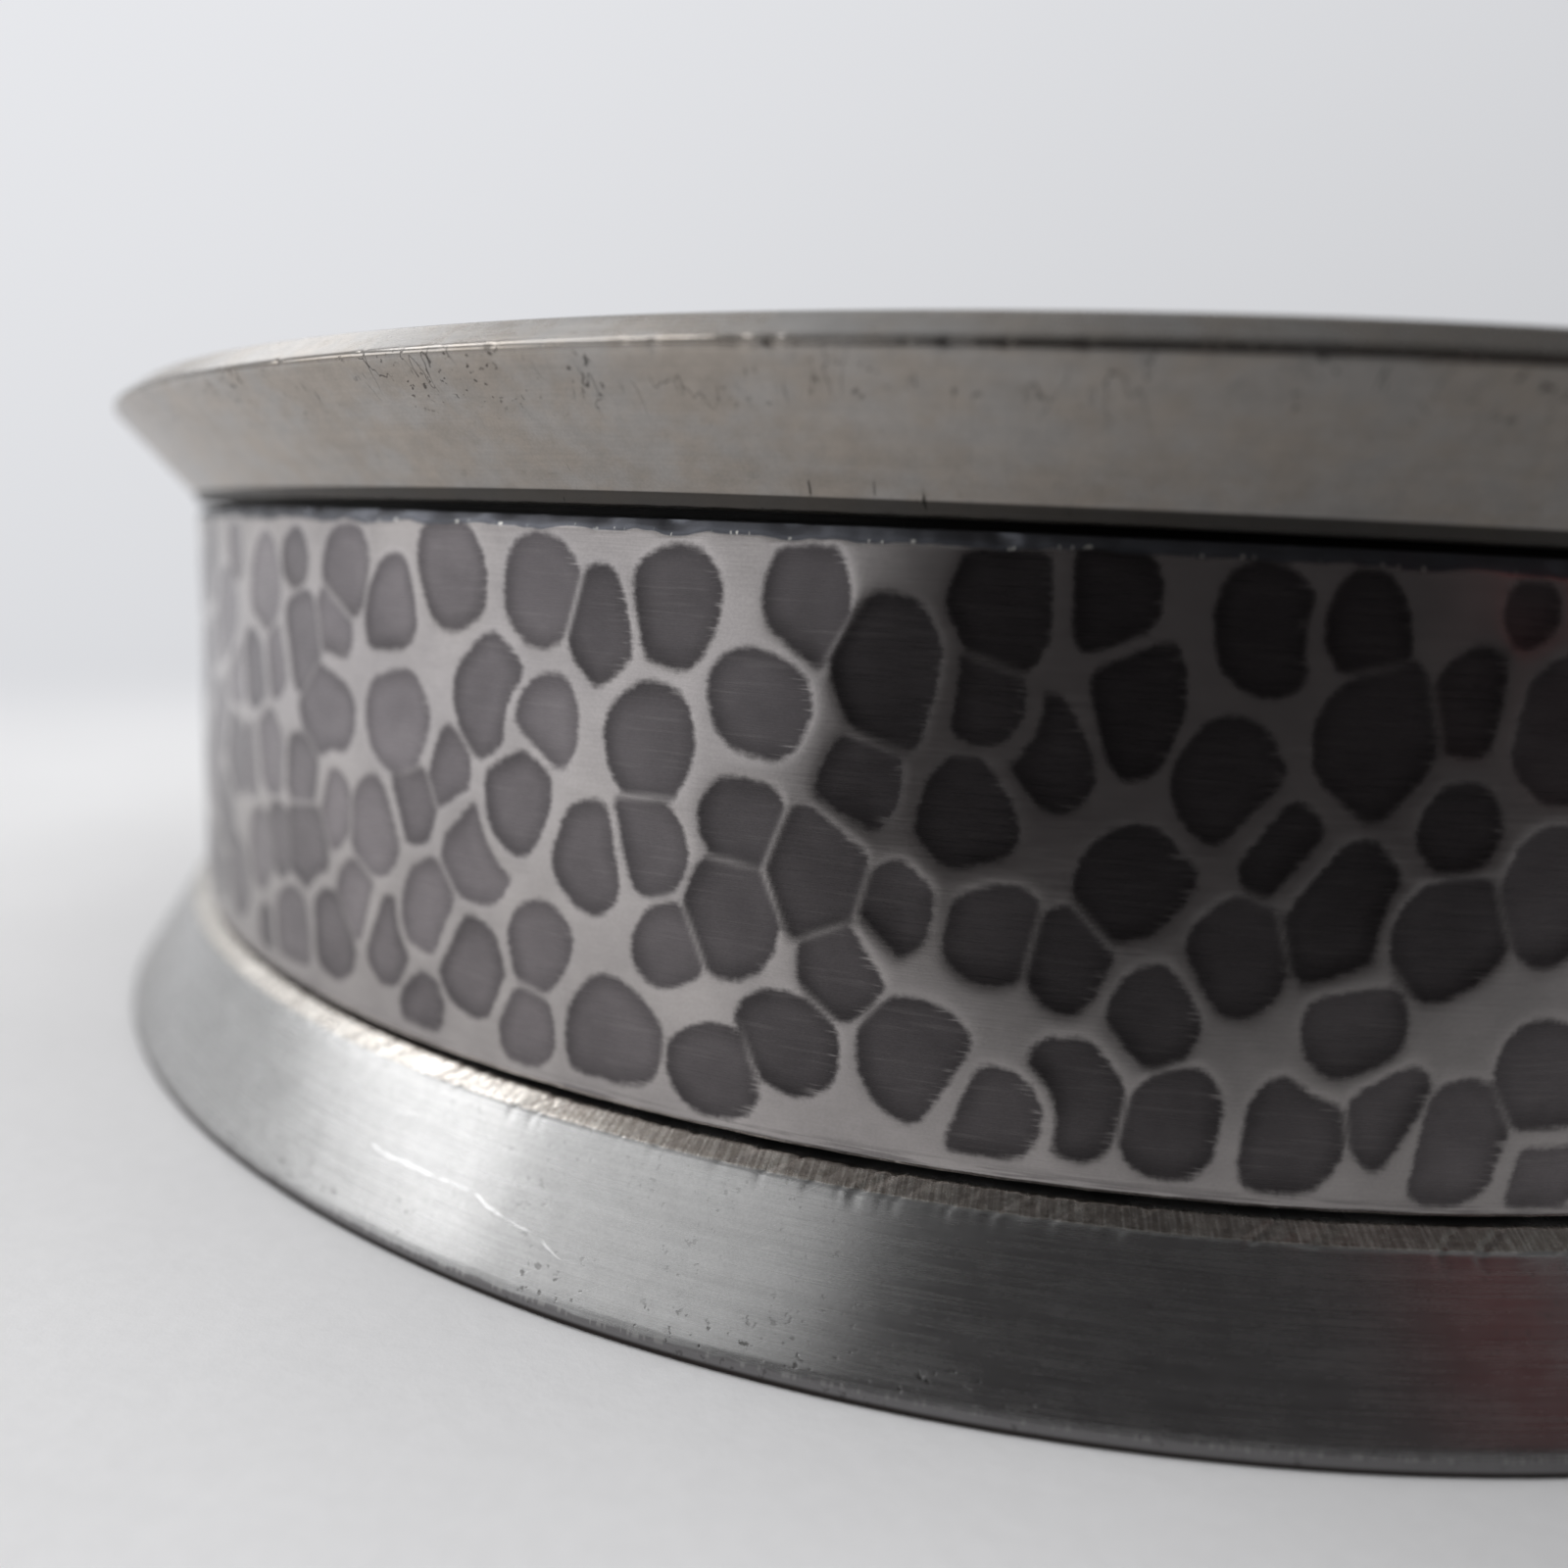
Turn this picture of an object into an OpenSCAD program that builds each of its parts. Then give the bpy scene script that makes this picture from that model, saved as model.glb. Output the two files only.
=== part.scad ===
// Low footed paten plate: a shallow dish on a short drum, with a flared rim collar, a flared foot
// collar and a separate hammered band that turns on the drum between them.
// Millimetres, +Z up, origin on the table at the centre of the foot.

/* [Overall] */
// Diameter over the rim collar and the foot collar
outer_d = 140; // [110:1:180]
// Height from the table to the top of the rim
total_h = 38.4; // [34:0.1:60]

/* [Collars] */
// How far each collar stands out past the hammered band
collar_overhang = 4.6; // [3:0.1:6]
// Height of the rim collar
rim_h = 6.5; // [6:0.1:9]
// Height of the upright land where the rim collar's cone starts
rim_land_h = 0.5; // [0.2:0.1:1]
// Width of the bevel round the top of the rim
rim_bevel_w = 1.7; // [0.5:0.1:2]
// Height of the bevel round the top of the rim
rim_bevel_h = 1.3; // [0.5:0.1:2]
// Height of the foot collar
foot_h = 7; // [6.4:0.1:9]
// Width of the narrow shoulder on top of the foot collar, past the band
foot_shoulder_w = 0.95; // [0.5:0.05:2]
// How much the shoulder falls over its width
foot_shoulder_drop = 0.5; // [0.1:0.1:0.6]
// Height of the upright edge at the bottom of the foot
foot_edge_h = 1.4; // [0.8:0.1:2]
// Size of the small chamfers that break sharp edges
edge_break = 0.2; // [0.1:0.05:0.3]

/* [Hammered band] */
// Thickness of the hammered band
band_t = 1.8; // [1.2:0.1:2.5]
// Open gap between the band and the rim collar
band_gap_top = 0.4; // [0.2:0.05:1]
// Open gap between the band and the foot collar
band_gap_bottom = 0.3; // [0.2:0.05:1]
// Radial running clearance between the band and the inner sleeve
band_clearance = 0.08; // [0.02:0.01:0.1]

/* [Inner sleeve] */
// Wall thickness of the inner sleeve
sleeve_t = 1.2; // [1:0.1:2]
// How far the sleeve goes into each collar
sleeve_seat = 3.5; // [2.5:0.1:3.8]

/* [Dish] */
// Thickness of the dish's sheet metal
dish_t = 1.2; // [0.8:0.1:1.4]
// Depth of the dish's well
dish_depth = 8; // [4:0.5:12]
// Width of the flat lip round the well
dish_lip_w = 8; // [6:0.5:14]
// Width of the curved wall between the lip and the floor
dish_wall_w = 13; // [10:0.5:18]

/* [Base plate] */
// Thickness of the base plate
base_t = 1.2; // [0.8:0.1:1.4]
// How far the base plate sits above the table
base_recess = 0.7; // [0.4:0.1:1]
// Height that the middle of the base plate rises, to clear the nut
base_rise = 7.9; // [7.6:0.1:10]
// Radius of the flat middle of the base plate
base_middle_r = 14; // [12:1:18]
// Radius where the base plate's cone meets its flat outer ring
base_cone_r = 40; // [30:1:45]

/* [Fasteners] */
// Diameter of the centre stud
stud_d = 6; // [5:1:6]
// Diameter of the stud's round head, brazed under the dish
stud_head_d = 18; // [14:1:24]
// Thickness of the stud's head
stud_head_t = 2.5; // [1.5:0.5:3]
// Diameter of the clamp washer
washer_d = 12; // [12:1:20]
// Thickness of the clamp washer
washer_t = 1.6; // [1:0.2:2]
// Width across the flats of the clamp nut
nut_af = 10; // [10:1:11]
// Height of the clamp nut
nut_h = 5; // [4:0.5:5]

/* [Hidden] */
$fn = 180;

fit_clearance = 0.03;    // radial clearance where one fixed piece locates in another
hole_clearance = 0.2;    // radial clearance of the stud in the base plate and the washer
ledge_w = 2.5;           // width of the ledge inside each collar
wall_steps = 16;         // straight steps along the dish's curved wall
small_fn = 64;           // roundness of the fasteners
stud_tail = 0.6;         // length of stud left showing past the nut

outer_r = outer_d / 2;
band_r = outer_r - collar_overhang;
band_bore_r = band_r - band_t;
sleeve_r = band_bore_r - band_clearance;
sleeve_bore_r = sleeve_r - sleeve_t;
ledge_r = sleeve_r - ledge_w;
rebate_r = sleeve_r + ledge_w;

rim_z = total_h - rim_h;
rim_tip_z = total_h - rim_bevel_h;
sleeve_top_z = rim_z + sleeve_seat;
sleeve_bottom_z = foot_h - sleeve_seat;
dish_lip_z = total_h - dish_t;
dish_under_z = total_h - dish_depth - dish_t;
dish_well_r = rebate_r - dish_lip_w;

base_top_z = base_recess + base_t;
base_middle_z = base_recess + base_rise;
washer_z = base_middle_z - washer_t;
nut_z = washer_z - nut_h;
stud_end_z = nut_z - stud_tail;

// A closed ring or disc: the outline is given as [radius, height] points.
module turned(points, steps = $fn) {
    rotate_extrude($fn = steps) polygon(points);
}

// How far down the dish's wall has come at a share of its width, from 0 at the lip to 1 at the floor.
function wall_fall(share) = (1 - cos(180 * share)) / 2;

// Top surface of the dish's wall, from the lip inwards.
function wall_point(share) = [dish_well_r - dish_wall_w * share, total_h - dish_depth * wall_fall(share)];

// Slope of that surface, in degrees below the horizontal when followed inwards.
function wall_slope(share) = atan(dish_depth * 90 * sin(180 * share) * PI / 180 / dish_wall_w);

// The matching point on the underside, one sheet thickness away.
function under_point(share) = wall_point(share)
    + dish_t * [-sin(wall_slope(share)), -cos(wall_slope(share))];

// Spun sheet-metal dish: a flat lip that sits in the rim collar, a curved wall and a flat floor.
module dish_plate() {
    lip_r = rebate_r - fit_clearance;
    shares = [for (i = [0 : wall_steps]) i / wall_steps];
    top = [for (share = shares) wall_point(share)];
    under = [for (i = [wall_steps : -1 : 0]) under_point(shares[i])];
    color([0.66, 0.64, 0.61])
        turned(concat(
            [[0, dish_under_z], [0, dish_under_z + dish_t]],
            [for (i = [wall_steps : -1 : 0]) top[i]],
            [[lip_r - edge_break, total_h], [lip_r, total_h - edge_break], [lip_r, dish_lip_z]],
            [for (i = [wall_steps : -1 : 0]) under[i]]));
}

// Turned rim collar: a cone that flares upwards, a bevelled rim, a rebate for the dish above an
// inner ledge, and a bore that the sleeve locates in.
module rim_collar() {
    bore_r = sleeve_r + fit_clearance;
    color([0.63, 0.60, 0.57])
        turned([
            [bore_r, rim_z],
            [band_r, rim_z],
            [band_r + edge_break, rim_z + rim_land_h],
            [outer_r, rim_tip_z],
            [outer_r - rim_bevel_w, total_h],
            [rebate_r + edge_break, total_h],
            [rebate_r, total_h - edge_break],
            [rebate_r, dish_lip_z],
            [ledge_r, dish_lip_z],
            [ledge_r, sleeve_top_z],
            [bore_r, sleeve_top_z]
        ]);
}

// Separate sleeve between the collars, free to turn on the inner sleeve.
module hammered_band() {
    bottom_z = foot_h + band_gap_bottom;
    top_z = rim_z - band_gap_top;
    color([0.38, 0.37, 0.37])
        turned([
            [band_bore_r, bottom_z],
            [band_r - edge_break, bottom_z],
            [band_r, bottom_z + edge_break],
            [band_r, top_z - edge_break],
            [band_r - edge_break, top_z],
            [band_bore_r, top_z]
        ]);
}

// Plain tube that holds the collars apart and carries the band.
module inner_sleeve() {
    color([0.50, 0.49, 0.48])
        turned([
            [sleeve_bore_r, sleeve_bottom_z],
            [sleeve_r, sleeve_bottom_z],
            [sleeve_r, sleeve_top_z],
            [sleeve_bore_r, sleeve_top_z]
        ]);
}

// Turned foot collar: a narrow shoulder, a cone that flares down to an upright edge, a bore for
// the sleeve, and a rebate underneath for the base plate.
module foot_collar() {
    bore_r = sleeve_r + fit_clearance;
    shoulder_r = band_r + foot_shoulder_w;
    color([0.60, 0.59, 0.58])
        turned([
            [rebate_r, 0],
            [outer_r - edge_break, 0],
            [outer_r, edge_break],
            [outer_r, foot_edge_h],
            [shoulder_r, foot_h - foot_shoulder_drop],
            [band_r, foot_h],
            [bore_r, foot_h],
            [bore_r, sleeve_bottom_z],
            [ledge_r, sleeve_bottom_z],
            [ledge_r, base_top_z],
            [rebate_r, base_top_z]
        ]);
}

// Pressed disc that closes the foot; its raised middle leaves room for the washer and the nut.
module base_plate() {
    plate_r = rebate_r - fit_clearance;
    hole_r = stud_d / 2 + hole_clearance;
    color([0.52, 0.52, 0.52])
        turned([
            [hole_r, base_middle_z],
            [base_middle_r, base_middle_z],
            [base_cone_r, base_recess],
            [plate_r, base_recess],
            [plate_r, base_top_z],
            [base_cone_r, base_top_z],
            [base_middle_r, base_middle_z + base_t],
            [hole_r, base_middle_z + base_t]
        ]);
}

// Stud with a wide round head against the underside of the dish; it pulls the whole stack together.
module centre_stud() {
    stud_r = stud_d / 2;
    head_r = stud_head_d / 2;
    head_z = dish_under_z - stud_head_t;
    color([0.70, 0.70, 0.68])
        turned([
            [0, stud_end_z],
            [stud_r - edge_break, stud_end_z],
            [stud_r, stud_end_z + edge_break],
            [stud_r, head_z],
            [head_r, head_z],
            [head_r, dish_under_z],
            [0, dish_under_z]
        ], small_fn);
}

// Flat washer between the nut and the base plate.
module clamp_washer() {
    hole_r = stud_d / 2 + hole_clearance;
    color([0.74, 0.74, 0.72])
        turned([
            [hole_r, washer_z],
            [washer_d / 2, washer_z],
            [washer_d / 2, base_middle_z],
            [hole_r, base_middle_z]
        ], small_fn);
}

// Hexagon nut with its corners chamfered at both ends.
module clamp_nut() {
    corner_r = nut_af / 2 / cos(30);
    chamfer_w = corner_r - nut_af / 2 + edge_break;
    chamfer_h = chamfer_w * tan(30);
    color([0.70, 0.70, 0.68])
        difference() {
            intersection() {
                translate([0, 0, nut_z]) cylinder(r = corner_r, h = nut_h, $fn = 6);
                turned([
                    [0, nut_z],
                    [corner_r - chamfer_w, nut_z],
                    [corner_r, nut_z + chamfer_h],
                    [corner_r, nut_z + nut_h - chamfer_h],
                    [corner_r - chamfer_w, nut_z + nut_h],
                    [0, nut_z + nut_h]
                ], small_fn);
            }
            translate([0, 0, nut_z - 1])
                cylinder(r = stud_d / 2 + fit_clearance, h = nut_h + 2, $fn = small_fn);
        }
}

dish_plate();
rim_collar();
hammered_band();
inner_sleeve();
foot_collar();
base_plate();
centre_stud();
clamp_washer();
clamp_nut();
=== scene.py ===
"""A low footed paten plate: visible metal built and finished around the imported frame. Metres, +Z up."""

import math

import bpy
import numpy as np
from mathutils import Matrix, Vector


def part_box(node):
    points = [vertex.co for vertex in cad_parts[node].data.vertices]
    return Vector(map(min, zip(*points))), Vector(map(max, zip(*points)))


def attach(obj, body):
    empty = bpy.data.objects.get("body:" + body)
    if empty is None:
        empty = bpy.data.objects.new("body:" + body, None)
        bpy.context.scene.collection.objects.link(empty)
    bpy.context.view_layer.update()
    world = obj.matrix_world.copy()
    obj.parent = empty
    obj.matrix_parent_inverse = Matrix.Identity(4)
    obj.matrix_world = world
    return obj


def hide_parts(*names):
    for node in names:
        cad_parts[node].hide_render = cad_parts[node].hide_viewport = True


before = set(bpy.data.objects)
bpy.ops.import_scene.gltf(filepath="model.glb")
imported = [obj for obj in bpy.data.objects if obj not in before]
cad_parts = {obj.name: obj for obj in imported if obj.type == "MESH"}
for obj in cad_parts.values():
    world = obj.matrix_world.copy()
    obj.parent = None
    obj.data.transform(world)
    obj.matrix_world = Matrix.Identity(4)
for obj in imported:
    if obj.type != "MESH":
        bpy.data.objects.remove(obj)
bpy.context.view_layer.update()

MM = 0.001
SEED = 20

# -------- sizes

BAND_LOW, BAND_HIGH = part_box("hammered_band")
RIM_LOW, RIM_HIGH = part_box("rim_collar")
SLEEVE_LOW, SLEEVE_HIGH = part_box("inner_sleeve")
DISH_LOW, DISH_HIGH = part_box("dish_plate")
FOOT_TOP_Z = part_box("foot_collar")[1].z
BASE_BOTTOM_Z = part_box("base_plate")[0].z

# Sizes of the CAD pieces that their boxes do not show
FIT = 0.03 * MM  # radial clearance where one fixed piece locates in another
RUNNING_FIT = 0.08 * MM  # radial clearance between the band and the sleeve
SHEET = 1.2 * MM  # thickness of the dish and of the base plate
LEDGE_W = 2.5 * MM
RIM_BEVEL_W, RIM_BEVEL_H = 1.7 * MM, 1.3 * MM
RIM_LAND_W, RIM_LAND_H = 0.2 * MM, 0.5 * MM
SHOULDER_W, SHOULDER_DROP = 0.95 * MM, 0.5 * MM
FOOT_EDGE_Z = 1.4 * MM
DISH_LIP_W, DISH_WALL_W = 8 * MM, 13 * MM

EDGE_LEAST, EDGE_MOST = 0.35 * MM, 1.05 * MM  # the foot's upright edge as faced, lowest and highest
EDGE_MOST_AT = -15  # where it is highest, in degrees from +X

OUTER_R = RIM_HIGH.x
BAND_R = BAND_HIGH.x
SLEEVE_R = SLEEVE_HIGH.x
BAND_BORE_R = SLEEVE_R + RUNNING_FIT
BORE_R = SLEEVE_R + FIT
LEDGE_R = SLEEVE_R - LEDGE_W
REBATE_R = DISH_HIGH.x + FIT
SHOULDER_R = BAND_R + SHOULDER_W
TOP_Z = RIM_HIGH.z
RIM_TIP_Z = TOP_Z - RIM_BEVEL_H
SHOULDER_Z = FOOT_TOP_Z - SHOULDER_DROP


# -------- mesh building

def smoothstep(low, high, x):
    """A smooth change from 0 at low to 1 at high, and level beyond them. Low may be the larger of the two."""
    t = np.clip((x - low) / (high - low), 0, 1)
    return t * t * (3 - 2 * t)


def ring_noise(columns, waves, seed):
    """Smooth random values from -1 to 1 round a ring, with about the given number of bumps."""
    random = np.random.RandomState(SEED + seed)
    knots = random.uniform(-1, 1, waves)
    at = np.arange(columns) * waves / columns
    low = np.floor(at).astype(int)
    share = at - low
    share = share * share * (3 - 2 * share)
    return knots[low % waves] * (1 - share) + knots[(low + 1) % waves] * share


def angles(columns):
    """Angles round the axis, from +X, one for each column of a turned mesh."""
    return np.arange(columns) * math.tau / columns


def outline(corners):
    """Points along a closed outline. A corner is (radius, height, rounding, spacing to the next corner)."""
    count = len(corners)
    shares = np.linspace(0, 1, 7)
    arcs = []
    for i, (r, z, rounding, _) in enumerate(corners):
        here = np.array((r, z))
        arc = [here]
        if rounding > 0:
            before = np.array(corners[i - 1][:2]) - here
            after = np.array(corners[(i + 1) % count][:2]) - here
            start = here + before / np.linalg.norm(before) * rounding
            end = here + after / np.linalg.norm(after) * rounding
            arc = [start * (1 - s) ** 2 + here * 2 * s * (1 - s) + end * s * s for s in shares]
        arcs.append(arc)
    points = []
    for i, arc in enumerate(arcs):
        points += arc
        gap = arcs[(i + 1) % count][0] - arc[-1]
        cuts = max(1, round(float(np.linalg.norm(gap)) / corners[i][3]))
        points += [arc[-1] + gap * k / cuts for k in range(1, cuts)]
    return np.array(points)


def grid(points, columns):
    """Radius and height at every vertex of a turned mesh: a row per outline point, a column per angle."""
    return np.repeat(points[:, :1], columns, axis=1), np.repeat(points[:, 1:], columns, axis=1)


def grid_quads(rows, columns, closed):
    """Vertex numbers of the faces between neighbouring rows and columns of a turned mesh."""
    row = np.arange(rows if closed else rows - 1)[:, None]
    column = np.arange(columns)[None, :]
    here = row * columns
    above = (row + 1) % rows * columns
    across = (column + 1) % columns
    corners = (here + column, here + across, above + across, above + column)
    return np.stack(corners, axis=-1).reshape(-1, 4)


def pole_triangles(rows, columns):
    """Triangles that close both ends of an open outline on the axis. Their poles are the last vertices."""
    first_pole = np.full(columns, rows * columns)
    ring = np.arange(columns)
    following = (ring + 1) % columns
    top = (rows - 1) * columns
    first = np.stack((first_pole, following, ring), axis=-1)
    last = np.stack((first_pole + 1, top + ring, top + following), axis=-1)
    return np.concatenate((first, last))


def turned_mesh(name, radius, height, closed=True):
    """A ring-shaped mesh from a grid of radii and heights. With closed False its outline is open and runs
    from the axis to the axis, as on a disc."""
    rows, columns = radius.shape
    angle = angles(columns)
    points = np.stack((radius * np.cos(angle), radius * np.sin(angle), height), axis=-1)
    points = points.reshape(-1, 3)
    quads = grid_quads(rows, columns, closed)
    triangles = np.zeros((0, 3), int)
    if not closed:
        poles = ((0, 0, height[0].mean()), (0, 0, height[-1].mean()))
        points = np.concatenate((points, poles))
        triangles = pole_triangles(rows, columns)
    corners = np.concatenate((quads.ravel(), triangles.ravel()))
    sizes = np.concatenate((np.full(len(quads), 4), np.full(len(triangles), 3)))
    starts = np.concatenate(((0,), np.cumsum(sizes)[:-1]))
    mesh = bpy.data.meshes.new(name)
    mesh.vertices.add(len(points))
    mesh.vertices.foreach_set("co", points.astype(np.float32).ravel())
    mesh.loops.add(len(corners))
    mesh.loops.foreach_set("vertex_index", corners.astype(np.int32))
    mesh.polygons.add(len(sizes))
    mesh.polygons.foreach_set("loop_start", starts.astype(np.int32))
    mesh.polygons.foreach_set("use_smooth", np.ones(len(sizes), bool))
    mesh.update(calc_edges=True)
    mesh.validate()
    piece = bpy.data.objects.new(name, mesh)
    bpy.context.scene.collection.objects.link(piece)
    return piece


def store(piece, name, values):
    """Keeps one number per vertex on the mesh, for its material to read."""
    layer = piece.data.attributes.new(name, "FLOAT", "POINT")
    layer.data.foreach_set("value", values.astype(np.float32).ravel())


# -------- the pattern of hammer marks
# Lengths without a unit in this section are in cells. A cell is a mark's usual width and height.

CELL_W, CELL_H = 3.8 * MM, 4.5 * MM
# Radii of the marks, each with how many times it is tried
MARK_RADII = ((0.62, 60), (0.56, 600), (0.50, 4000), (0.44, 7000), (0.38, 7000), (0.31, 1500))
CLEAR_SHARE = 0.94  # how far apart marks stay, as a share of the sum of their radii
OVERLAP_SHARE = 0.42  # share of the larger marks that may run into marks placed before them
OVERLAP_LEAST_R = 0.43
MARK_REACH = 1.0  # a mark is worked out no farther than this from its centre
NEIGHBOUR_REACH = 1.4  # marks with their centres closer than this share a border
CUT_KIND = 0.12  # of a pair with a lower kind, the later mark keeps its outline and cuts the earlier one
MERGED_KIND = 0.6  # a pair with a higher kind runs together, with a crease along the border
MERGED_BY = 0.14
CREASE_W = 0.035
FLAT_HOLLOW = -0.3  # the value of hollow away from every mark


def mark_centres(wide, tall):
    """Random hammer marks as (place round, height, radius), packed closely on a strip that closes round
    the band. The largest are placed first; some of the marks overlap those that are there already."""
    random = np.random.RandomState(SEED)
    marks = np.zeros((0, 3))
    for radius, tries in MARK_RADII:
        for _ in range(tries):
            r = radius * random.uniform(0.94, 1.06)
            x = random.uniform(0, wide)
            y = random.uniform(r * 0.8, tall - r * 0.8)
            may_overlap = r > OVERLAP_LEAST_R and random.uniform() < OVERLAP_SHARE
            apart = random.uniform(0.68, 0.88) if may_overlap else CLEAR_SHARE
            dx = (marks[:, 0] - x + wide / 2) % wide - wide / 2
            if np.all(np.hypot(dx, marks[:, 1] - y) > (marks[:, 2] + r) * apart):
                marks = np.concatenate((marks, ((x, y, r),)))
    return marks


def oval(r, shape, dx, dy):
    """How far inside a mark's own outline, a lopsided oval, each point lies."""
    squash, tilt, one, two, three = shape
    x = (dx * math.cos(tilt) + dy * math.sin(tilt)) / squash
    y = (dy * math.cos(tilt) - dx * math.sin(tilt)) * squash
    turn = np.arctan2(y, x)
    wobble = 0.05 * np.sin(turn + one) + 0.05 * np.sin(2 * turn + two) + 0.03 * np.sin(3 * turn + three)
    return r * (1.06 + wobble) - np.hypot(x, y)


def neighbour_borders(i, marks, shapes, pairs, wide, dx, dy):
    """How far inside its border with each neighbour of mark i every point lies, and how near each point is
    to a crease. The points are given from the mark's centre."""
    kind, width, slope = pairs
    mark_x, mark_y, mark_r = marks[i]
    borders = []
    crease = np.zeros_like(dx)
    away_x = (marks[:, 0] - mark_x + wide / 2) % wide - wide / 2
    away_y = marks[:, 1] - mark_y
    away = np.hypot(away_x, away_y)
    for j in np.where((away < NEIGHBOUR_REACH) & (away > 0))[0]:
        pair = (min(i, j), max(i, j))
        to_x, to_y = away_x[j] / away[j], away_y[j] / away[j]
        side = (dx * -to_y + dy * to_x) * (1 if i < j else -1)
        middle = (away[j] ** 2 + mark_r ** 2 - marks[j, 2] ** 2) / (2 * away[j])
        to_line = middle - (dx * to_x + dy * to_y)
        ridge = width[pair] + slope[pair] * side
        if kind[pair] < CUT_KIND:
            if i > j:
                continue
            to_line = -oval(marks[j, 2], shapes[j], dx - away_x[j], dy - away_y[j])
            ridge = 2 * ridge
        elif kind[pair] > MERGED_KIND:
            ridge = ridge - MERGED_BY
            from_end = side * np.sign(slope[pair]) + kind[pair] - MERGED_KIND
            faded = (kind[pair] - 0.1) * smoothstep(-0.5, 0.1, from_end)
            crease = np.maximum(crease, np.exp(-((to_line / CREASE_W) ** 2)) * faded)
        borders.append(to_line - ridge)
    return borders, crease


def hammer_marks(u, v, low, high):
    """For each grid point of the unrolled face: how far inside a mark it lies (negative on a ridge), where
    it lies across that mark from -1 to 1, a random tone that belongs to the mark, and how near it is to a
    crease where two marks run together."""
    wide = math.tau * BAND_R / CELL_W
    tall = (high - low) / CELL_H
    marks = mark_centres(wide, tall)
    count = len(marks)
    random = np.random.RandomState(SEED + 1)
    squashes = random.uniform(0.88, 1.1, count)
    shapes = np.stack((squashes, *random.uniform(0, math.tau, (4, count))), axis=1)
    kind = random.uniform(0, 1, (count, count))
    width = random.uniform(0.025, 0.07, (count, count))
    slope = random.normal(0, 0.06, (count, count))
    x, y = u / CELL_W, (v - low) / CELL_H
    step_x, step_y = x[1] - x[0], y[1] - y[0]
    hollow = np.full((len(v), len(u)), FLAT_HOLLOW)
    across = np.zeros_like(hollow)
    tone = np.zeros_like(hollow)
    crease = np.zeros_like(hollow)
    for i, (mark_x, mark_y, mark_r) in enumerate(marks):
        left = math.floor((mark_x - MARK_REACH) / step_x)
        right = math.ceil((mark_x + MARK_REACH) / step_x)
        columns = np.arange(left, right + 1)
        first = max(0, math.floor((mark_y - MARK_REACH - y[0]) / step_y))
        stop = min(len(v), math.ceil((mark_y + MARK_REACH - y[0]) / step_y) + 1)
        dx, dy = np.meshgrid(columns * step_x - mark_x, y[first:stop] - mark_y)
        top_limit = tall + random.uniform(-0.05, 0.08) - mark_y
        bottom_limit = mark_y - random.uniform(0.0, 0.16)
        borders, fold = neighbour_borders(i, marks, shapes, (kind, width, slope), wide, dx, dy)
        limits = [oval(mark_r, shapes[i], dx, dy), top_limit - dy, dy + bottom_limit] + borders
        softness = random.uniform(0.025, 0.05)
        inside = -softness * np.log(np.sum(np.exp(-np.clip(limits, -1, 2) / softness), axis=0))
        window = np.ix_(np.arange(first, stop), columns % len(u))
        wins = inside > hollow[window]
        found = ((hollow, inside), (across, dx / mark_r), (tone, random.uniform(-1, 1)), (crease, fold))
        for kept, values in found:
            kept[window] = np.where(wins, values, kept[window])
    return hollow, across, tone, crease


# -------- the hammered band

BAND_COLUMNS = 2560
FACE_PITCH = 0.17 * MM
BOTTOM_ROUNDING = 0.3 * MM
TOP_BEVEL = 0.5 * MM
MARK_DEPTH = 0.085 * MM
EDGE_SOFTNESS = 0.03  # how softly a hollow starts at its edge, in cells
LEVEL_WITHIN = 0.14  # how far inside its edge a hollow gets level, in cells
CREASE_FILL = 0.3  # share of the depth that a crease fills


def mark_depth(hollow, crease):
    """Depth of the hammered face: a rounded start at a mark's edge, then nearly level."""
    rounded = EDGE_SOFTNESS * np.log1p(np.exp(hollow / EDGE_SOFTNESS))
    return (1 - np.exp(-rounded / LEVEL_WITHIN)) * MARK_DEPTH * (1 - CREASE_FILL * crease)


def top_bevel(radius, height, high):
    """An uneven bevel on the band's top edge: how much radius it takes off, and where each point lies on
    it, from 0 at its lower edge to 1 at its top and below 0 on the face under it."""
    facets = ring_noise(BAND_COLUMNS, 260, 1) * 0.10 * MM + ring_noise(BAND_COLUMNS, 900, 2) * 0.04 * MM
    lower_z = high - TOP_BEVEL + facets
    outside = radius > BAND_BORE_R + 1 * MM
    above = np.clip(height - lower_z, 0, TOP_BEVEL) * (height > high - 2 * TOP_BEVEL) * outside
    below = np.where(outside, lower_z - height, TOP_BEVEL)
    share = (above - np.clip(below, 0, TOP_BEVEL)) / TOP_BEVEL
    return above * (0.55 + 0.2 * ring_noise(BAND_COLUMNS, 420, 3)), share


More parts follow.
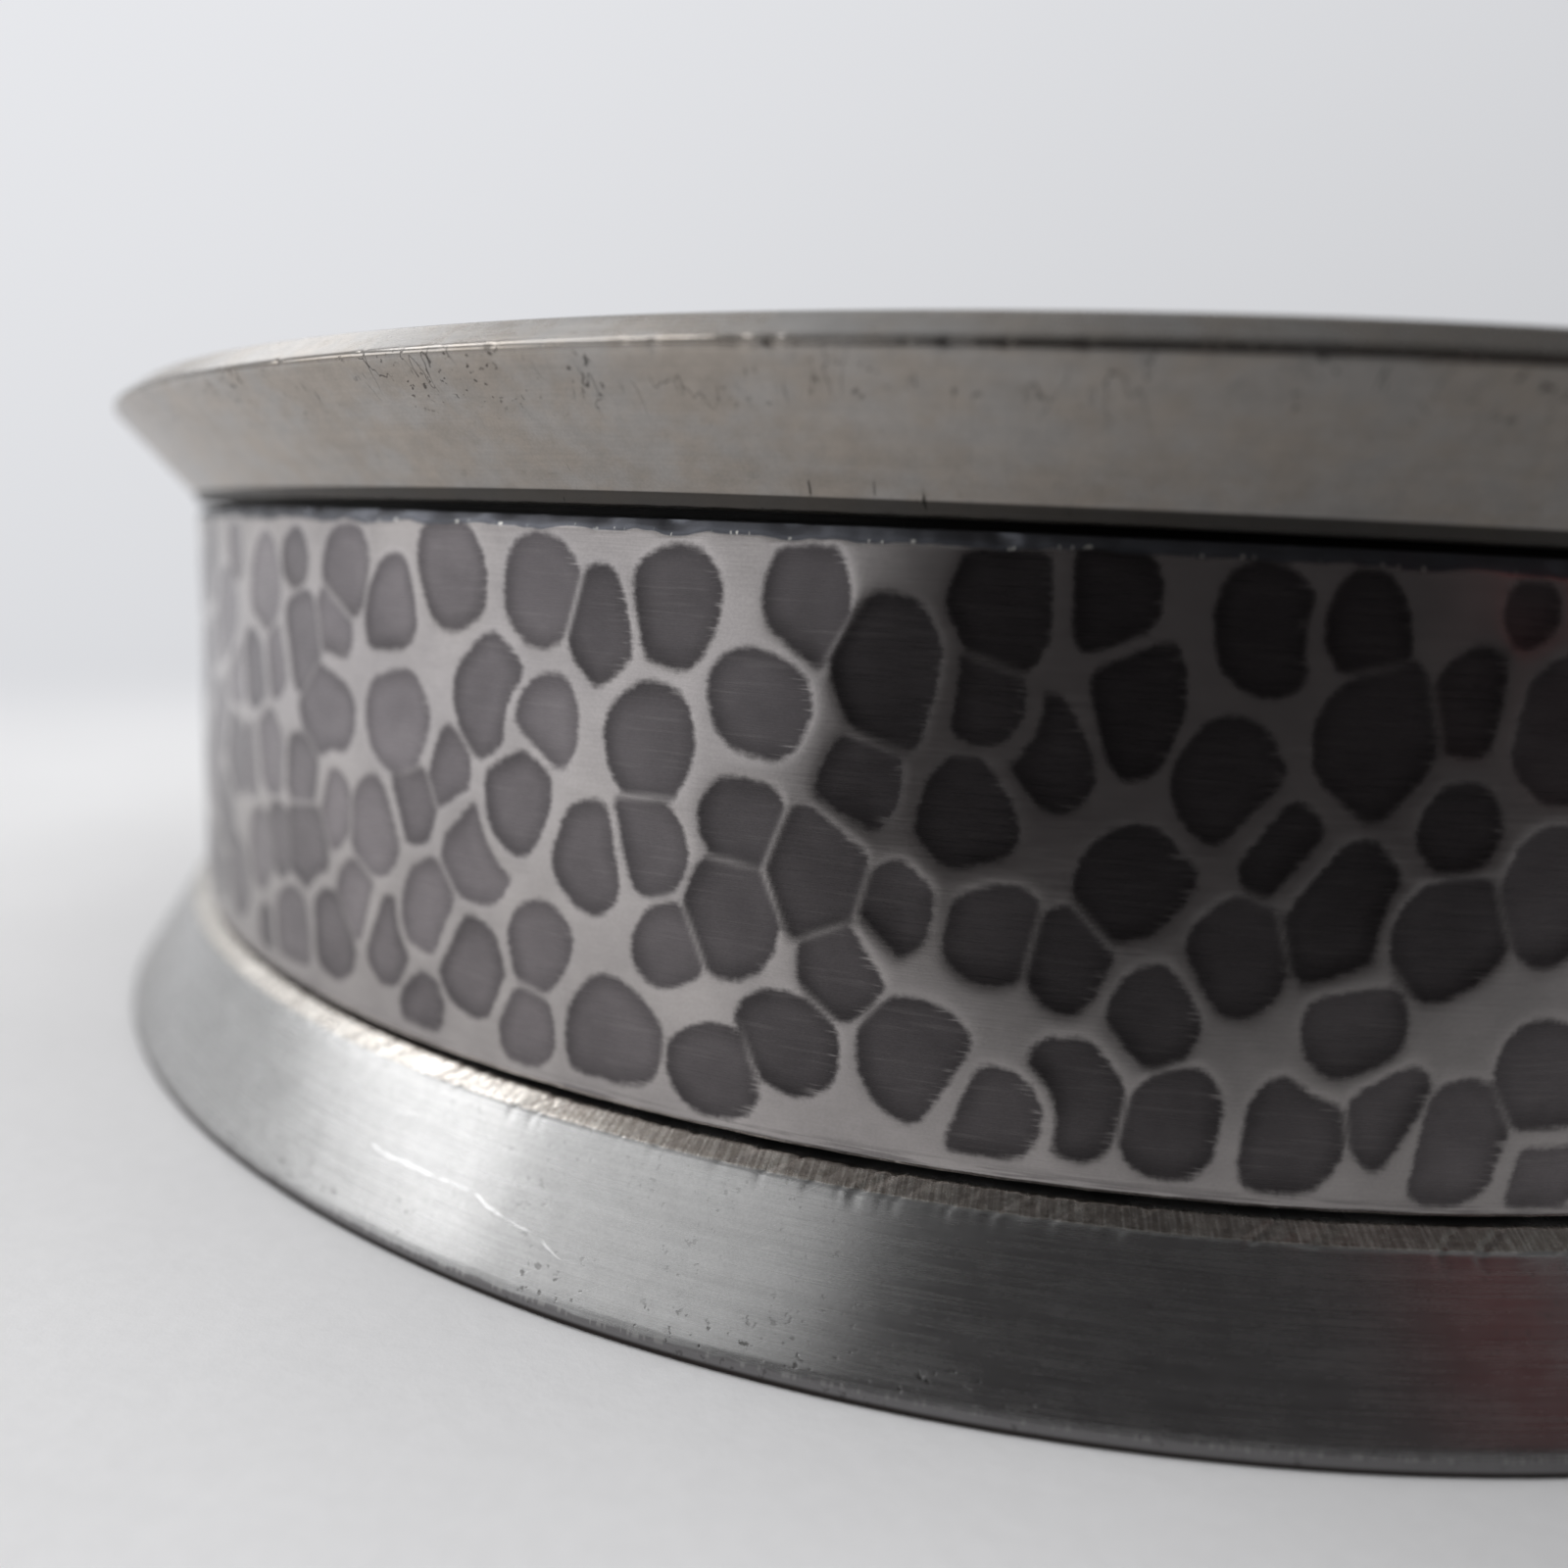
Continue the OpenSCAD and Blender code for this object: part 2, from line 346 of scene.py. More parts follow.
def hammered_band():
    """The frame's plain band with every hammer mark cut into its outer face."""
    low, high = BAND_LOW.z, BAND_HIGH.z
    points = outline([
        (BAND_BORE_R, low, 0, 1 * MM),
        (BAND_R, low, BOTTOM_ROUNDING, FACE_PITCH),
        (BAND_R, high, 0.1 * MM, 1 * MM),
        (BAND_BORE_R, high, 0, 4 * MM),
    ])
    radius, height = grid(points, BAND_COLUMNS)
    face_u = np.arange(BAND_COLUMNS) * math.tau * BAND_R / BAND_COLUMNS
    face_rows = np.where(np.abs(points[:, 0] - BAND_R) < 1e-7)[0]
    face_z = np.linspace(points[face_rows[0], 1], points[face_rows[-1], 1], len(face_rows))
    height[face_rows] = face_z[:, None]
    hollow, across, tone, crease = hammer_marks(face_u, face_z, low + BOTTOM_ROUNDING, high - TOP_BEVEL)
    radius[face_rows] -= mark_depth(hollow, crease)
    cut, bevel = top_bevel(radius, height, high)
    radius -= cut
    near_bottom = smoothstep(low + 0.5 * MM, low, height)
    height += near_bottom * np.abs(ring_noise(BAND_COLUMNS, 300, 10)) * 0.03 * MM
    piece = turned_mesh("hammered_band_metal", radius, height)
    for name, values in (("hollow", hollow), ("across", across), ("tone", tone), ("crease", crease)):
        everywhere = np.full(radius.shape, values.min())
        everywhere[face_rows] = values
        store(piece, name, everywhere)
    store(piece, "bevel", bevel)
    return piece


# -------- the turned collars and the dish

COLLAR_COLUMNS = 3072
DISH_COLUMNS = 720


def rim_collar():
    """The rim collar with rounded edges, a slightly uneven rim and small nicks along its edges."""
    radius, height = grid(outline([
        (BORE_R, RIM_LOW.z, 0.1 * MM, 1 * MM),
        (BAND_R, RIM_LOW.z, 0.1 * MM, 0.2 * MM),
        (BAND_R + RIM_LAND_W, RIM_LOW.z + RIM_LAND_H, 0.15 * MM, 0.4 * MM),
        (OUTER_R, RIM_TIP_Z, 0.42 * MM, 0.3 * MM),
        (OUTER_R - RIM_BEVEL_W, TOP_Z, 0.3 * MM, 0.5 * MM),
        (REBATE_R, TOP_Z, 0.15 * MM, 0.4 * MM),
        (REBATE_R, TOP_Z - SHEET, 0, 1 * MM),
        (LEDGE_R, TOP_Z - SHEET, 0, 1 * MM),
        (LEDGE_R, SLEEVE_HIGH.z, 0, 1 * MM),
        (BORE_R, SLEEVE_HIGH.z, 0, 1 * MM),
    ]), COLLAR_COLUMNS)
    outside = smoothstep(BAND_R, OUTER_R, radius)
    slow = np.abs(ring_noise(COLLAR_COLUMNS, 23, 3)) * 0.05 * MM
    nicks = smoothstep(0.35, 1.0, ring_noise(COLLAR_COLUMNS, 700, 4)) * 0.05 * MM
    at_tip = np.exp(-(((height - RIM_TIP_Z) / (0.3 * MM)) ** 2)) * outside
    radius -= outside * slow + at_tip * nicks
    at_land = smoothstep(RIM_LOW.z + 0.3 * MM, RIM_LOW.z, height) * (radius > BAND_R - 0.5 * MM)
    height += at_land * np.abs(ring_noise(COLLAR_COLUMNS, 500, 5)) * 0.03 * MM
    return turned_mesh("rim_collar_metal", radius, height)


def file_cuts(radius, height):
    """Depth of the slanting file marks across the foot's shoulder."""
    on_shoulder = (radius > BAND_R - 0.3 * MM) & (height > SHOULDER_Z - 0.14 * MM)
    across = (radius - BAND_R) / (SHOULDER_R - BAND_R)
    column = np.arange(COLLAR_COLUMNS)[None, :]
    slant = np.round(column + across * 9 + ring_noise(COLLAR_COLUMNS, 40, 9) * 4).astype(int)
    coarse = ring_noise(COLLAR_COLUMNS, 1100, 6)[slant % COLLAR_COLUMNS]
    fine = ring_noise(COLLAR_COLUMNS, 1536, 7)[slant % COLLAR_COLUMNS]
    cut = np.clip(coarse * 0.7 + fine * 0.5, 0, 1) * 0.06 * MM
    return on_shoulder * cut


def foot_collar():
    """The foot collar, with file marks cut into its shoulder and an upright edge that was faced unevenly."""
    radius, height = grid(outline([
        (REBATE_R, 0, 0.1 * MM, 1 * MM),
        (OUTER_R, 0, 0.35 * MM, 0.3 * MM),
        (OUTER_R, FOOT_EDGE_Z, 0.3 * MM, 0.35 * MM),
        (SHOULDER_R, SHOULDER_Z, 0.16 * MM, 0.14 * MM),
        (BAND_R, FOOT_TOP_Z, 0, 0.5 * MM),
        (BORE_R, FOOT_TOP_Z, 0, 1 * MM),
        (BORE_R, SLEEVE_LOW.z, 0, 1 * MM),
        (LEDGE_R, SLEEVE_LOW.z, 0, 1 * MM),
        (LEDGE_R, BASE_BOTTOM_Z + SHEET, 0, 1 * MM),
        (REBATE_R, BASE_BOTTOM_Z + SHEET, 0, 0.5 * MM),
    ]), COLLAR_COLUMNS)
    height -= file_cuts(radius, height)
    slow = np.abs(ring_noise(COLLAR_COLUMNS, 19, 8)) * 0.05 * MM
    radius -= smoothstep(SHOULDER_R, OUTER_R, radius) * slow
    turn = np.cos(angles(COLLAR_COLUMNS) - math.radians(EDGE_MOST_AT))
    edge_z = EDGE_LEAST + (EDGE_MOST - EDGE_LEAST) * (0.5 + 0.5 * turn)
    outwards = np.clip((radius - SHOULDER_R) / (OUTER_R - SHOULDER_R), 0, 1)
    lowered = outwards * np.clip(height / FOOT_EDGE_Z, 0, 1)
    height -= lowered * (FOOT_EDGE_Z - edge_z)
    above = (height - edge_z) / MM + ring_noise(COLLAR_COLUMNS, 800, 11) * 0.05
    piece = turned_mesh("foot_collar_metal", radius, height)
    store(piece, "edge", np.clip(above, -2, 2))
    return piece


def dish_plate():
    """The spun dish: flat lip, curved wall and flat floor, one sheet thickness throughout."""
    lip_r = DISH_HIGH.x
    floor_z = DISH_LOW.z
    depth = TOP_Z - floor_z - SHEET
    share = np.linspace(0, 1, 33)
    wall_r = REBATE_R - DISH_LIP_W - DISH_WALL_W * share
    wall_z = TOP_Z - depth * (1 - np.cos(math.pi * share)) / 2
    slope = np.arctan(depth * math.pi / 2 * np.sin(math.pi * share) / DISH_WALL_W)
    under_r = wall_r - SHEET * np.sin(slope)
    under_z = wall_z - SHEET * np.cos(slope)
    floor_r = np.linspace(0.2 * MM, wall_r[-1] - 1.5 * MM, 24)
    lip = [(lip_r - k * MM, TOP_Z) for k in (6.5, 5, 3.5, 2, 0.8, 0.3)]
    edge = [
        (lip_r - 0.12 * MM, TOP_Z - 0.01 * MM),
        (lip_r - 0.03 * MM, TOP_Z - 0.08 * MM),
        (lip_r, TOP_Z - 0.2 * MM),
        (lip_r, TOP_Z - SHEET + 0.1 * MM),
        (lip_r - 0.1 * MM, TOP_Z - SHEET),
    ]
    top = [(r, floor_z + SHEET) for r in floor_r] + list(zip(wall_r[::-1], wall_z[::-1])) + lip
    under = list(zip(under_r, under_z)) + [(r, floor_z) for r in floor_r[::-1]]
    radius, height = grid(np.array(top + edge + under)[::-1], DISH_COLUMNS)
    return turned_mesh("dish_plate_metal", radius, height, closed=False)


# -------- materials

class Metal:
    """A node material with one Principled shader. Its methods add nodes and return their outputs."""

    def __init__(self, name, metallic=1.0):
        self.material = bpy.data.materials.new(name)
        self.material.use_nodes = True
        self.tree = self.material.node_tree
        self.tree.nodes.clear()
        self.surface = self.tree.nodes.new("ShaderNodeOutputMaterial")
        self.shader = self.tree.nodes.new("ShaderNodeBsdfPrincipled")
        self.output(self.shader)
        self.shader.inputs["Metallic"].default_value = metallic
        self.place = self.tree.nodes.new("ShaderNodeTexCoord").outputs["Object"]
        split = self.node("ShaderNodeSeparateXYZ", {0: self.place})
        self.x, self.y, self.z = split.outputs
        self.r = self.math("SQRT", self.math("ADD", self.square(self.x), self.square(self.y)))
        self.unit_x = self.math("DIVIDE", self.x, self.r)
        self.unit_y = self.math("DIVIDE", self.y, self.r)

    def output(self, shader):
        self.tree.links.new(shader.outputs[0], self.surface.inputs["Surface"])

    def node(self, kind, inputs, **settings):
        node = self.tree.nodes.new(kind)
        for key, value in settings.items():
            setattr(node, key, value)
        for key, value in inputs.items():
            self.put(node.inputs[key], value)
        return node

    def put(self, socket, value):
        if isinstance(value, bpy.types.NodeSocket):
            self.tree.links.new(value, socket)
        else:
            socket.default_value = value

    def math(self, operation, *values):
        return self.node("ShaderNodeMath", dict(enumerate(values)), operation=operation).outputs[0]

    def chain(self, operation, values):
        """The values joined one after another with the same operation."""
        result = values[0]
        for value in values[1:]:
            result = self.math(operation, result, value)
        return result

    def times(self, *values):
        return self.chain("MULTIPLY", values)

    def plus(self, *values):
        return self.chain("ADD", values)

    def largest(self, *values):
        return self.chain("MAXIMUM", values)

    def square(self, value):
        return self.times(value, value)

    def one_minus(self, value):
        return self.math("SUBTRACT", 1.0, value)

    def rise(self, value, low, high, start=0.0, end=1.0):
        """Takes a value from start to end, smoothly, as it goes from low to high."""
        inputs = {"Value": value, "From Min": low, "From Max": high, "To Min": start, "To Max": end}
        node = self.node("ShaderNodeMapRange", inputs, interpolation_type="SMOOTHSTEP")
        return node.outputs["Result"]

    def mix(self, share, first, second):
        """A colour between two colours."""
        inputs = {"Factor": share, 6: first, 7: second}
        return self.node("ShaderNodeMix", inputs, data_type="RGBA").outputs[2]

    def scaled(self, colour, factor):
        """A colour multiplied by a number, or by one number for each of red, green and blue."""
        if isinstance(factor, tuple):
            node = self.node("ShaderNodeVectorMath", {0: colour, 1: factor}, operation="MULTIPLY")
        else:
            node = self.node("ShaderNodeVectorMath", {0: colour, 3: factor}, operation="SCALE")
        return node.outputs[0]

    def noise(self, vector, scale=1.0, detail=2.0, roughness=0.5):
        """Smooth random values. Used with m.place, the scale is in waves per metre."""
        inputs = {"Vector": vector, "Scale": scale, "Detail": detail, "Roughness": roughness}
        return self.node("ShaderNodeTexNoise", inputs).outputs["Fac"]

    def vector(self, x, y, z):
        return self.node("ShaderNodeCombineXYZ", {0: x, 1: y, 2: z}).outputs[0]

    def round_axis(self, along, around, across, ring_r):
        """Coordinates for marks that run round the axis without a seam: around is a mark's length at radius
        ring_r, and across is its width along the given height or radius."""
        turn = ring_r / around
        x, y = self.times(self.unit_x, turn), self.times(self.unit_y, turn)
        return self.vector(x, y, self.math("DIVIDE", along, across))

    def arc_length(self, ring_r):
        """Distance round the axis from the front, at radius ring_r."""
        return self.times(self.math("ARCTAN2", self.x, self.times(self.y, -1.0)), ring_r)

    def bump(self, height, depth, normal=None):
        inputs = {"Height": height, "Strength": 1.0, "Distance": depth}
        if normal is not None:
            inputs["Normal"] = normal
        return self.node("ShaderNodeBump", inputs).outputs[0]

    def attribute(self, name):
        return self.node("ShaderNodeAttribute", {}, attribute_name=name).outputs["Fac"]

    def light_path(self, name):
        return self.node("ShaderNodeLightPath", {}).outputs[name]

    def brushed(self, amount):
        """Stretches highlights across brush lines that run round the axis."""
        tangent = self.node("ShaderNodeTangent", {}, direction_type="RADIAL", axis="Z")
        self.put(self.shader.inputs["Tangent"], tangent.outputs[0])
        self.put(self.shader.inputs["Anisotropic"], amount)
        self.put(self.shader.inputs["Anisotropic Rotation"], 0.25)

    def finish(self, colour, roughness, normal):
        self.put(self.shader.inputs["Base Color"], colour)
        self.put(self.shader.inputs["Roughness"], roughness)
        self.put(self.shader.inputs["Normal"], normal)
        return self.material


def grey(level, warmth=0.0):
    """A grey colour, warmer for a positive warmth."""
    return (level * (1 + warmth), level, level * (1 - warmth), 1.0)


def satin_base(m, level, warmth, rough, ring_r, flat=False, brush=1.0, stains=1.0):
    """Colour, roughness and normal of satin metal brushed round the axis, over a flat disc if flat is True.
    The brush lines are fainter for a smaller brush, the cloudy stains for smaller stains."""
    along = m.r if flat else m.z
    lines = m.noise(m.round_axis(along, 5 * MM, 0.07 * MM, ring_r), detail=3.0)
    long_lines = m.noise(m.round_axis(along, 16 * MM, 0.22 * MM, ring_r), detail=2.0)
    clouds = m.noise(m.place, 120.0, 4.0, 0.6)
    blotches = m.noise(m.round_axis(along, 3.2 * MM, 1.7 * MM, ring_r), detail=4.0, roughness=0.65)
    mottle = m.noise(m.place, 1100.0, 3.0, 0.6)
    grain = m.noise(m.place, 9000.0, 2.0)
    tone = m.plus(
        m.rise(lines, 0.3, 0.7, -0.04 * brush, 0.04 * brush),
        m.rise(long_lines, 0.3, 0.7, -0.04 * brush, 0.04 * brush),
        m.rise(clouds, 0.3, 0.7, -0.06 * stains, 0.06 * stains),
        m.rise(blotches, 0.42, 0.58, -0.05 * stains, 0.05 * stains),
        m.rise(mottle, 0.3, 0.7, -0.08 * stains, 0.08 * stains),
        m.rise(grain, 0.3, 0.7, -0.04, 0.04),
        1.0,
    )
    base = m.mix(m.rise(blotches, 0.35, 0.65), grey(level, warmth * 1.1), grey(level, warmth * 0.5))
    roughness = m.plus(
        m.rise(lines, 0.2, 0.8, -0.04 * brush, 0.04 * brush),
        m.rise(clouds, 0.3, 0.7, -0.03 * stains, 0.04 * stains),
        m.rise(blotches, 0.42, 0.58, -0.025 * stains, 0.025 * stains),
        rough,
    )
    normal = m.bump(lines, 0.0020 * MM * brush)
    normal = m.bump(mottle, 0.0030 * MM * stains, normal)
    normal = m.bump(grain, 0.0010 * MM, normal)
    return m.scaled(base, tone), roughness, normal


def pits(m, where):
    """A mask of small pits, clustered, where the given mask allows them."""
    clusters = m.noise(m.place, 300.0, 3.0, 0.6)
    specks = m.noise(m.place, 2600.0, 2.0, 0.7)
    return m.times(m.rise(specks, 0.62, 0.67), m.rise(clusters, 0.46, 0.58), where)


def outer_side(m):
    """A mask of what a collar shows outside the band's face."""
    return m.rise(m.r, BAND_R - 0.3 * MM, BAND_R)


def satin_metal(name, level, rough, warmth=0.02, ring_r=SLEEVE_R, flat=False, aniso=0.3):
    """Plain satin metal with faint stains and a few pits."""
    m = Metal(name)
    colour, roughness, normal = satin_base(m, level, warmth, rough, ring_r, flat, stains=0.5)
    pit = pits(m, 0.25)
    colour = m.mix(pit, colour, grey(0.08, 0.05))
    normal = m.bump(m.one_minus(pit), 0.01 * MM, normal)
    m.brushed(aniso)
    return m.finish(colour, roughness, normal)


# -------- the rim's metal

def rim_damage(m, outside):
    """A mask of the pits, nicks and hairline cracks on the rim's cone, most of them near its tip."""
    near_tip = m.rise(m.z, RIM_TIP_Z - 2.6 * MM, RIM_TIP_Z - 0.5 * MM, 0.12, 1.0)
    near_land = m.rise(m.z, RIM_LOW.z + 1.6 * MM, RIM_LOW.z + 0.5 * MM)
    dashes = m.noise(m.round_axis(m.z, 0.16 * MM, 0.8 * MM, OUTER_R), detail=1.0)
    groups = m.noise(m.place, 190.0, 2.0, 0.5)
    nick = m.times(m.rise(dashes, 0.70, 0.76), m.rise(groups, 0.5, 0.6), m.plus(near_land, near_tip))
    wander = m.noise(m.round_axis(m.z, 1.3 * MM, 2.6 * MM, OUTER_R), detail=3.0)
    line = m.rise(m.math("ABSOLUTE", m.math("SUBTRACT", wander, 0.5)), 0.008, 0.003)
    cracked = m.rise(m.noise(m.place, 330.0, 2.0, 0.5), 0.50, 0.57)
    crack = m.times(line, cracked, near_tip, 0.8)
    on_cone = m.times(outside, m.rise(m.z, RIM_TIP_Z + 0.20 * MM, RIM_TIP_Z, 0.15, 1.0))
    return m.math("MINIMUM", m.times(m.plus(pits(m, near_tip), nick, crack), on_cone), 1.0)


def rim_metal():
    """Warm satin metal, pitted and cracked towards the rim, with a matt land at the foot of the cone that is
    painted nearly black as shade beside the gap, a cooler bevel, and a smoother nose where the cone meets
    it, painted darker as a dark reflection."""
    m = Metal("rim_metal")
    colour, roughness, normal = satin_base(
        m, level=0.465, warmth=0.105, rough=0.33, ring_r=OUTER_R, brush=0.6, stains=0.65
    )
    outside = outer_side(m)
    damage = rim_damage(m, outside)
    colour = m.mix(m.times(damage, 0.8), colour, grey(0.05, 0.08))
    land = m.times(m.rise(m.z, RIM_LOW.z + 0.58 * MM, RIM_LOW.z + 0.50 * MM), outside)
    # Painted shade: the land just above the gap to the band is painted nearly black.
    colour = m.mix(m.times(land, 0.9), colour, grey(0.05, 0.08))
    bevel = m.rise(m.z, RIM_TIP_Z - 0.05 * MM, RIM_TIP_Z + 0.10 * MM)
    colour = m.mix(bevel, colour, m.scaled(colour, (0.94, 0.957, 0.982)))
    nose_bottom = m.rise(m.z, RIM_TIP_Z - 0.20 * MM, RIM_TIP_Z - 0.08 * MM)
    nose_top = m.rise(m.z, RIM_TIP_Z + 0.34 * MM, RIM_TIP_Z + 0.20 * MM)
    nose = m.times(nose_bottom, nose_top)
    # Painted reflection: the nose is painted darker and warmer, for the dark things it mirrors beside the
    # camera.
    colour = m.mix(m.times(nose, 0.35), colour, grey(0.10, 0.20))
    dulled = m.plus(m.times(damage, 0.3), m.times(land, 0.12))
    polished = m.plus(m.times(bevel, 0.05), m.times(nose, 0.15))
    roughness = m.plus(roughness, dulled, m.times(polished, -1.0))
    normal = m.bump(m.one_minus(damage), 0.02 * MM, normal)
    m.brushed(0.25)
    return m.finish(colour, roughness, normal)


# -------- the foot's metal

LONG_SCRATCHES = (  # ends as (angle from the front in degrees, height)
    ((-24.0, 3.4 * MM), (-18.4, 3.2 * MM)),
    ((-18.4, 3.2 * MM), (-15.3, 2.6 * MM)),
    ((-15.1, 2.6 * MM), (-13.8, 2.1 * MM)),
    ((31.0, 4.8 * MM), (38.0, 3.0 * MM)),
    ((100.0, 5.2 * MM), (109.0, 3.4 * MM)),
    ((171.0, 3.0 * MM), (183.0, 4.2 * MM)),
    ((-117.0, 4.6 * MM), (-110.0, 2.4 * MM)),
)
LOOSE_SCRATCHES = ((0.5, 9 * MM, 0.0), (-0.35, 5 * MM, 40.0), (0.15, 6 * MM, 90.0))  # slant, length, seed
LOOSE_SCRATCH_W = 0.12 * MM
# Painted shade: this dark grey is painted on the foot's upright lower edge.
EDGE_SHADE_COLOUR = (0.20, 0.19, 0.195, 1)
# Painted contact shadow: this near-black brown is painted along the bottom of the foot's edge, where it meets
# the floor.
CONTACT_SHADOW_COLOUR = (0.05, 0.042, 0.04, 1)
# Painted highlights: this pale grey is painted in short ticks along the top corner of the foot's upright
# edge.
HIGHLIGHT_TICK_COLOUR = (0.75, 0.74, 0.72, 1)
FILED_COLOURS = (0.64, 0.595, 0.55, 1), (1.0, 0.965, 0.91, 1)


def loose_scratches(m):
    """A mask of thin scratches that lean both ways across the foot's brush lines."""
    turn = m.arc_length(OUTER_R)
    streaks = []
    for slant, length, seed in LOOSE_SCRATCHES:
        c, s = math.cos(slant), math.sin(slant)
        along = m.math("DIVIDE", m.plus(m.times(turn, c), m.times(m.z, s)), length)
        aside = m.math("DIVIDE", m.plus(m.times(m.z, c), m.times(turn, -s)), LOOSE_SCRATCH_W)
        streaks.append(m.rise(m.noise(m.vector(along, aside, seed), detail=1.0), 0.74, 0.8))
    return m.largest(*streaks)


def long_scratch(m, start, end):
    """A mask of one long scratch on the foot's cone between two points given as in LONG_SCRATCHES. It
    wanders a little, and thins out towards its ends."""
    x0, x1 = math.radians(start[0]) * OUTER_R, math.radians(end[0]) * OUTER_R
    length = math.hypot(x1 - x0, end[1] - start[1])
    c, s = (x1 - x0) / length, (end[1] - start[1]) / length
    from_x, from_z = m.plus(m.arc_length(OUTER_R), -x0), m.plus(m.z, -start[1])
    along = m.plus(m.times(from_x, c), m.times(from_z, s))
    aside = m.plus(m.times(from_z, c), m.times(from_x, -s))
    wander = m.rise(m.noise(m.place, 500.0, 2.0), 0.3, 0.7, -0.08 * MM, 0.08 * MM)
    off = m.math("ABSOLUTE", m.plus(aside, wander))
    width = m.rise(m.noise(m.place, 900.0, 1.0), 0.3, 0.6, 0.02 * MM, 0.085 * MM)
    line = m.rise(m.math("DIVIDE", off, width), 1.0, 0.5)
    ends = m.times(m.rise(along, 0.0, 0.4 * MM), m.rise(along, length, length - 0.8 * MM))
    return m.times(line, ends)


def foot_scratches(m):
    """A mask of every scratch on the foot."""
    long_ones = [m.times(long_scratch(m, start, end), 0.7) for start, end in LONG_SCRATCHES]
    return m.largest(m.times(loose_scratches(m), 0.4), *long_ones)


def foot_metal():
    """Cooler satin metal with scratches; its shoulder is bright from the file. Its lower edge is matt and
    painted dark grey as shade, with a painted contact shadow along its bottom and painted highlight ticks
    along its top.
    """
    m = Metal("foot_metal")
    colour, roughness, normal = satin_base(
        m, level=0.60, warmth=0.004, rough=0.26, ring_r=OUTER_R, stains=0.4
    )
    outside = outer_side(m)
    above_edge = m.attribute("edge")
    cone = m.times(outside, m.rise(above_edge, 0.0, 0.1))
    scratch = m.times(foot_scratches(m), cone)
    colour = m.mix(scratch, colour, grey(1.0))
    normal = m.bump(scratch, 0.003 * MM, normal)
    pit = pits(m, m.times(m.rise(above_edge, 1.6, 0.2, 0.25, 1.0), outside, 0.8))
    colour = m.mix(pit, colour, grey(0.10, 0.05))
    normal = m.bump(m.one_minus(pit), 0.012 * MM, normal)
    edge_dull_and_shaded = m.times(m.rise(above_edge, 0.06, -0.06), outside)
    # The upright edge is rougher, and its colour is painted darker as shade.
    colour = m.mix(m.times(edge_dull_and_shaded, 0.75), colour, EDGE_SHADE_COLOUR)
    # A painted contact shadow along the lowest 0.2 to 0.4 mm of the edge.
    colour = m.mix(m.times(edge_dull_and_shaded, m.rise(m.z, 0.42 * MM, 0.22 * MM)), colour, CONTACT_SHADOW_COLOUR)
    near_edge = m.rise(m.math("ABSOLUTE", above_edge), 0.28, 0.05)
    ticks = m.noise(m.round_axis(m.plus(m.z, m.r), 0.22 * MM, 1.2 * MM, OUTER_R), detail=1.0)
    # Painted highlights: pale ticks along the corner at the top of the upright edge.
    painted_highlight_ticks = m.times(near_edge, m.rise(ticks, 0.52, 0.62), outside, 0.35)
    colour = m.mix(painted_highlight_ticks, colour, HIGHLIGHT_TICK_COLOUR)
    hatch = m.noise(m.round_axis(m.plus(m.z, m.r), 0.13 * MM, 1.2 * MM, BAND_R), detail=2.0)
    crumbs = m.noise(m.place, 3500.0, 3.0, 0.7)
    filed = m.times(m.rise(m.z, SHOULDER_Z - 0.03 * MM, SHOULDER_Z + 0.04 * MM), outside)
    colour = m.mix(filed, colour, m.mix(m.rise(hatch, 0.4, 0.65), *FILED_COLOURS))
    uneven = m.times(filed, m.rise(crumbs, 0.35, 0.65, -0.10, 0.02))
    roughness = m.plus(roughness, m.times(edge_dull_and_shaded, 0.12), uneven)
    normal = m.bump(m.times(hatch, filed), 0.010 * MM, normal)
    normal = m.bump(m.times(crumbs, filed), 0.012 * MM, normal)
    m.brushed(0.5)
    return m.finish(colour, roughness, normal)


# -------- the band's metal

RIDGE_COLOURS = (0.60, 0.562, 0.545, 1), (0.53, 0.497, 0.487, 1)
PATINA_COLOURS = (0.150, 0.137, 0.140, 1), (0.113, 0.103, 0.106, 1)
# The first of these two colours paints the band's top bevel dark bluish grey as shade under the rim; the
# second paints glints along its lower edge as painted highlights.
BEVEL_SHADE_COLOUR, PAINTED_GLINT_COLOUR = (0.125, 0.13, 0.148, 1), (0.80, 0.79, 0.75, 1)


def patina_left(m, hollow, streaks, clouds):
    """A mask of the patina: it fills the hollows up to their ragged edges. It is worn faintly by the brush,
    in short scrapes where the brush ran out of a hollow, and along creases."""
    ragged = m.rise(m.noise(m.place, 2200.0, 3.0, 0.7), 0.3, 0.7, -0.012, 0.012)
    edge = m.plus(hollow, ragged, m.rise(streaks, 0.3, 0.7, -0.008, 0.008))
    dark = m.rise(edge, -0.020, 0.066)
    rubbed = m.times(m.rise(streaks, 0.55, 0.75), 0.07)
    scrapes = m.noise(m.round_axis(m.z, 1.6 * MM, 0.11 * MM, BAND_R), detail=2.0)
    run_out = m.times(m.rise(m.attribute("across"), 0.15, 0.6), m.rise(hollow, 0.17, 0.03))
    scraped = m.times(m.rise(scrapes, 0.54, 0.68), run_out, m.rise(clouds, 0.42, 0.52), 0.6)
    folded = m.times(m.attribute("crease"), 0.85)
    for worn in (rubbed, scraped, folded):
        dark = m.times(dark, m.one_minus(worn))
    return dark


